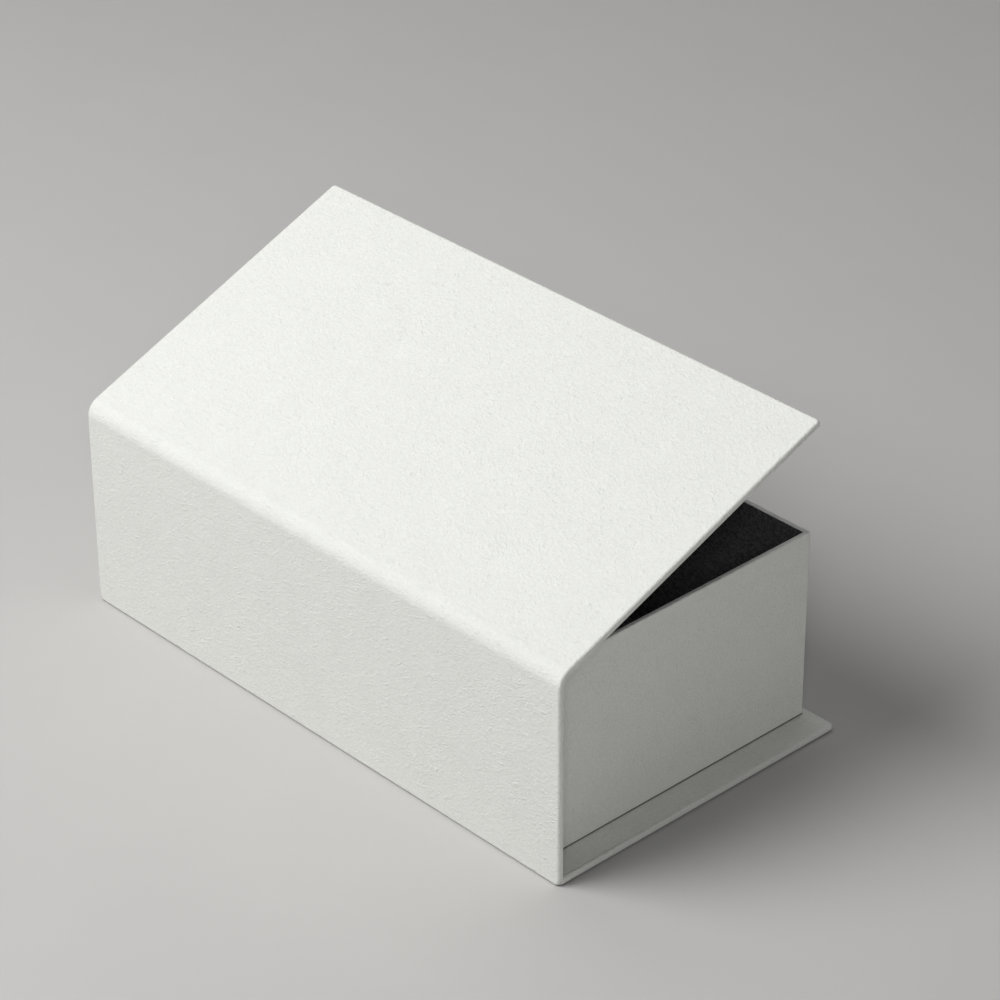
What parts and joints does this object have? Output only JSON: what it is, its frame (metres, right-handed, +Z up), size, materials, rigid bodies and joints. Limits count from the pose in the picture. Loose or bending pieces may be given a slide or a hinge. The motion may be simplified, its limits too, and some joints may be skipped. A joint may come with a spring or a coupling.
{
  "type": "packaging box",
  "caption": "Book-style rigid box: a black-lined tray glued on a wrapped base, with a flat lid that turns on a rounded paper hinge along the top of the spine.",
  "frame": {"origin": "the middle of the underside, on the surface that the box stands on", "axes": "+X along the hinge line, the longest side; +Y from the spine to the lid's free edge; +Z up; the lid stands open at 22 degrees"},
  "size_m": [0.2752, 0.1504, 0.1463],
  "materials": {
    "textured_paper": "off-white wrapping paper embossed with a fine felt grain, matt",
    "greyboard": "uncoated recycled greyboard",
    "black_lining": "dyed black lining paper, matt"
  },
  "bodies": {
    "box": {"base_board": "greyboard", "base_wrap": "textured_paper", "spine_board": "greyboard", "spine_wrap": "textured_paper", "hinge_core": "greyboard", "hinge_wrap": "textured_paper", "hinge_liner": "black_lining", "tray_floor": "greyboard", "tray_front": "greyboard", "tray_back": "greyboard", "tray_left": "greyboard", "tray_right": "greyboard", "tray_wrap": "textured_paper", "lining_floor": "black_lining", "lining_front": "black_lining", "lining_back": "black_lining", "lining_left": "black_lining", "lining_right": "black_lining"},
    "lid": {"lid_board": "greyboard", "lid_wrap": "textured_paper", "lid_liner": "black_lining"}
  },
  "joints": [
    {"name": "lid_hinge", "type": "hinge", "parent": "box", "child": "lid", "pos_m": [0, -0.07387, 0.09161], "axis": [1, 0, 0], "range_deg": [-23, 175], "deforming": ["hinge_core", "hinge_wrap", "hinge_liner"]}
  ]
}
